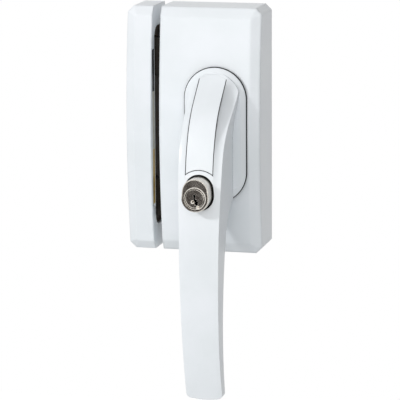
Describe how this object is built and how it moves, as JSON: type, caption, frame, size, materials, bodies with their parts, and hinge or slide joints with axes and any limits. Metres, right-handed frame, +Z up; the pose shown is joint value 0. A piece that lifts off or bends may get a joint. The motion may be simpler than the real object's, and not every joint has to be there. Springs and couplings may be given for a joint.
{
  "type": "locking window handle",
  "caption": "Locking window handle on a surface-mounted bolt case, with a push cylinder in its neck and square side bolts that run into a matching strike.",
  "frame": {"origin": "the spindle's axis on the face that the case is fixed to", "axes": "+X to the right seen from the room, away from the strike; +Y into the window; +Z up"},
  "size_m": [0.0807, 0.1149, 0.2253],
  "materials": {
    "white_coating": "white powder coating on die-cast alloy",
    "plated_steel": "zinc-plated steel",
    "spring_steel": "bright spring steel",
    "bronzed_steel": "dark bronzed steel",
    "yellow_zinc": "yellow passivated zinc plating",
    "bolt_zinc": "zinc die-casting, dulled",
    "nickel": "nickel-plated brass",
    "brass": "turned brass",
    "black_plastic": "black moulded plastic"
  },
  "bodies": {
    "root": {"mounting_plate": "plated_steel", "gear_plate": "plated_steel", "lock_plate": "plated_steel", "plate_pillars": "plated_steel", "case_cover": "white_coating", "glide_ring": "black_plastic", "handle_bush": "brass", "rear_bush": "brass", "lock_keepers": "plated_steel", "long_screws": "plated_steel", "bolt_rails": "black_plastic", "rail_screws": "plated_steel", "detent_posts": "plated_steel", "detent_spring": "spring_steel", "strike_housing": "white_coating", "strike_liner": "bronzed_steel", "strike_rail": "plated_steel", "strike_bar": "yellow_zinc", "strike_filler": "plated_steel", "strike_buffer": "black_plastic", "strike_screws": "plated_steel"},
    "handle": {"handle_casting": "white_coating", "cover_strip": "white_coating", "base_seal": "black_plastic", "spindle": "plated_steel", "hub_screw": "plated_steel", "hub_pinion": "plated_steel", "retaining_ring": "spring_steel", "cylinder_sleeve": "black_plastic", "return_spring": "spring_steel"},
    "cylinder": {"cylinder_barrel": "nickel", "chamber_cover": "nickel", "stop_pin": "plated_steel", "lock_pin": "plated_steel", "driver_pins": "brass", "pin_springs": "spring_steel"},
    "plug": {"plug": "nickel", "key_pins": "brass", "plug_cam": "plated_steel", "cam_clip": "spring_steel"},
    "carriage": {"bolt_carriage": "plated_steel", "rack": "plated_steel", "upper_bolt": "bolt_zinc", "lower_bolt": "bolt_zinc", "bolt_rivets": "plated_steel", "rack_rivets": "plated_steel"}
  },
  "joints": [
    {"name": "handle_turn", "type": "hinge", "parent": "root", "child": "handle", "pos_m": [0, 0, 0], "axis": [0, -1, 0], "range_deg": [0, 180], "deforming": ["detent_spring"]},
    {"name": "cylinder_push", "type": "slide", "parent": "handle", "child": "cylinder", "axis": [0, 1, 0], "range_m": [0, 0.007], "stiffness_N_per_m": 400, "springref_m": -0.005, "deforming": ["return_spring"]},
    {"name": "plug_turn", "type": "hinge", "parent": "cylinder", "child": "plug", "pos_m": [0, -0.08, -0.02835], "axis": [0, 1, 0], "range_deg": [0, 90]},
    {"name": "bolts_slide", "type": "slide", "parent": "root", "child": "carriage", "axis": [1, 0, 0], "range_m": [0, 0.0189]}
  ],
  "couplings": [
    {"joint": "bolts_slide", "follows": "handle_turn", "m_per_rad": 0.006}
  ]
}
